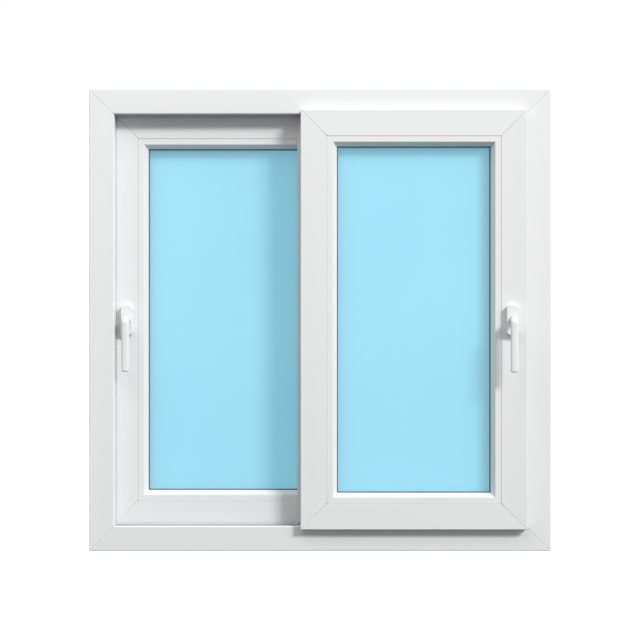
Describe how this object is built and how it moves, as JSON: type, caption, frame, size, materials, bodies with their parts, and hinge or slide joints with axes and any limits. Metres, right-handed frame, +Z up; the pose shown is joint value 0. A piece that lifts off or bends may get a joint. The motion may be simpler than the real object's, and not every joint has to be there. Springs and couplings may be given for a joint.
{
  "type": "sliding window",
  "caption": "White two-sash horizontal sliding window: mitred plastic frame with two tracks, double-glazed sashes on rollers, and a lever handle with a lock rod on each sash.",
  "frame": {"origin": "middle of the frame's underside, halfway through the frame's depth", "axes": "+X to the right seen from the room, +Y from the room to the outside, +Z up"},
  "size_m": [1, 0.198, 1],
  "materials": {
    "frame_pvc": "satin white window profile",
    "sash_pvc": "satin white window profile",
    "bead_pvc": "satin white glazing bead",
    "cap_plastic": "satin white moulding",
    "galvanised_steel": "zinc plated",
    "screw_steel": "bright zinc",
    "rail_aluminium": "mill finish",
    "spacer_aluminium": "satin",
    "interlock_aluminium": "white powder coat",
    "brush_pile": "light grey woven pile",
    "buffer_rubber": "matte",
    "seal_rubber": "matte grey gasket",
    "inner_glass": "clear float",
    "outer_glass": "light blue",
    "roller_nylon": "moulded nylon",
    "guide_nylon": "moulded nylon",
    "handle_enamel": "gloss white powder coat",
    "gearbox_zinc": "die-cast zinc",
    "pinion_steel": "sintered steel"
  },
  "bodies": {
    "frame": {"frame_head": "frame_pvc", "frame_sill": "frame_pvc", "frame_left_jamb": "frame_pvc", "frame_right_jamb": "frame_pvc", "frame_reinforcement": "galvanised_steel", "track_rails": "rail_aluminium", "frame_brush_seals": "brush_pile", "left_jamb_cover": "frame_pvc", "lock_keeps": "galvanised_steel", "keep_screws": "screw_steel", "end_buffers": "buffer_rubber", "drain_covers": "cap_plastic"},
    "left_flap": {"drain_flap_left": "cap_plastic"},
    "right_flap": {"drain_flap_right": "cap_plastic"},
    "left_sash": {"left_sash_top_rail": "sash_pvc", "left_sash_bottom_rail": "sash_pvc", "left_sash_outer_stile": "sash_pvc", "left_sash_meeting_stile": "sash_pvc", "left_sash_reinforcement": "galvanised_steel", "left_glazing_beads": "bead_pvc", "left_seals": "seal_rubber", "left_inner_pane": "inner_glass", "left_outer_pane": "outer_glass", "left_spacer_bar": "spacer_aluminium", "left_roller_carriages": "galvanised_steel", "left_top_guides": "guide_nylon", "left_interlock": "interlock_aluminium", "left_handle_base": "galvanised_steel", "left_handle_cap": "handle_enamel", "left_handle_screws": "screw_steel", "left_gearbox": "gearbox_zinc"},
    "left_inner_roller": {"left_roller_inner": "roller_nylon"},
    "left_outer_roller": {"left_roller_outer": "roller_nylon"},
    "left_handle": {"left_lever": "handle_enamel", "left_spindle": "screw_steel", "left_pinion": "pinion_steel"},
    "left_lock_rod": {"left_drive_rod": "galvanised_steel"},
    "right_sash": {"right_sash_top_rail": "sash_pvc", "right_sash_bottom_rail": "sash_pvc", "right_sash_outer_stile": "sash_pvc", "right_sash_meeting_stile": "sash_pvc", "right_sash_reinforcement": "galvanised_steel", "right_glazing_beads": "bead_pvc", "right_seals": "seal_rubber", "right_inner_pane": "inner_glass", "right_outer_pane": "outer_glass", "right_spacer_bar": "spacer_aluminium", "right_roller_carriages": "galvanised_steel", "right_top_guides": "guide_nylon", "right_interlock": "interlock_aluminium", "right_handle_base": "galvanised_steel", "right_handle_cap": "handle_enamel", "right_handle_screws": "screw_steel", "right_gearbox": "gearbox_zinc"},
    "right_inner_roller": {"right_roller_inner": "roller_nylon"},
    "right_outer_roller": {"right_roller_outer": "roller_nylon"},
    "right_handle": {"right_lever": "handle_enamel", "right_spindle": "screw_steel", "right_pinion": "pinion_steel"},
    "right_lock_rod": {"right_drive_rod": "galvanised_steel"}
  },
  "joints": [
    {"name": "left_sash_slide", "type": "slide", "parent": "frame", "child": "left_sash", "axis": [1, 0, 0], "range_m": [0, 0.35]},
    {"name": "left_inner_roller_spin", "type": "hinge", "parent": "left_sash", "child": "left_inner_roller", "pos_m": [-0.0435, 0.021, 0.0623], "axis": [0, 1, 0], "continuous": true},
    {"name": "left_outer_roller_spin", "type": "hinge", "parent": "left_sash", "child": "left_outer_roller", "pos_m": [-0.377, 0.021, 0.0623], "axis": [0, 1, 0], "continuous": true},
    {"name": "left_handle_turn", "type": "hinge", "parent": "left_sash", "child": "left_handle", "pos_m": [-0.4215, -0.02, 0.5], "axis": [0, -1, 0], "range_deg": [0, 180]},
    {"name": "left_lock_rod_slide", "type": "slide", "parent": "left_sash", "child": "left_lock_rod", "axis": [0, 0, -1], "range_m": [0, 0.036]},
    {"name": "right_sash_slide", "type": "slide", "parent": "frame", "child": "right_sash", "axis": [1, 0, 0], "range_m": [-0.35, 0]},
    {"name": "right_inner_roller_spin", "type": "hinge", "parent": "right_sash", "child": "right_inner_roller", "pos_m": [0.036, -0.041, 0.0623], "axis": [0, 1, 0], "continuous": true},
    {"name": "right_outer_roller_spin", "type": "hinge", "parent": "right_sash", "child": "right_outer_roller", "pos_m": [0.3695, -0.041, 0.0623], "axis": [0, 1, 0], "continuous": true},
    {"name": "right_handle_turn", "type": "hinge", "parent": "right_sash", "child": "right_handle", "pos_m": [0.414, -0.082, 0.5], "axis": [0, 1, 0], "range_deg": [0, 180]},
    {"name": "right_lock_rod_slide", "type": "slide", "parent": "right_sash", "child": "right_lock_rod", "axis": [0, 0, -1], "range_m": [0, 0.036]},
    {"name": "left_flap_swing", "type": "hinge", "parent": "frame", "child": "left_flap", "pos_m": [-0.25, 0.0632, 0.025], "axis": [1, 0, 0], "range_deg": [0, 60]},
    {"name": "right_flap_swing", "type": "hinge", "parent": "frame", "child": "right_flap", "pos_m": [0.25, 0.0632, 0.025], "axis": [1, 0, 0], "range_deg": [0, 60]}
  ],
  "couplings": [
    {"joint": "left_inner_roller_spin", "follows": "left_sash_slide", "rad_per_m": 83.333},
    {"joint": "left_outer_roller_spin", "follows": "left_sash_slide", "rad_per_m": 83.333},
    {"joint": "left_lock_rod_slide", "follows": "left_handle_turn", "m_per_rad": 0.011459},
    {"joint": "right_inner_roller_spin", "follows": "right_sash_slide", "rad_per_m": 83.333},
    {"joint": "right_outer_roller_spin", "follows": "right_sash_slide", "rad_per_m": 83.333},
    {"joint": "right_lock_rod_slide", "follows": "right_handle_turn", "m_per_rad": 0.011459}
  ]
}
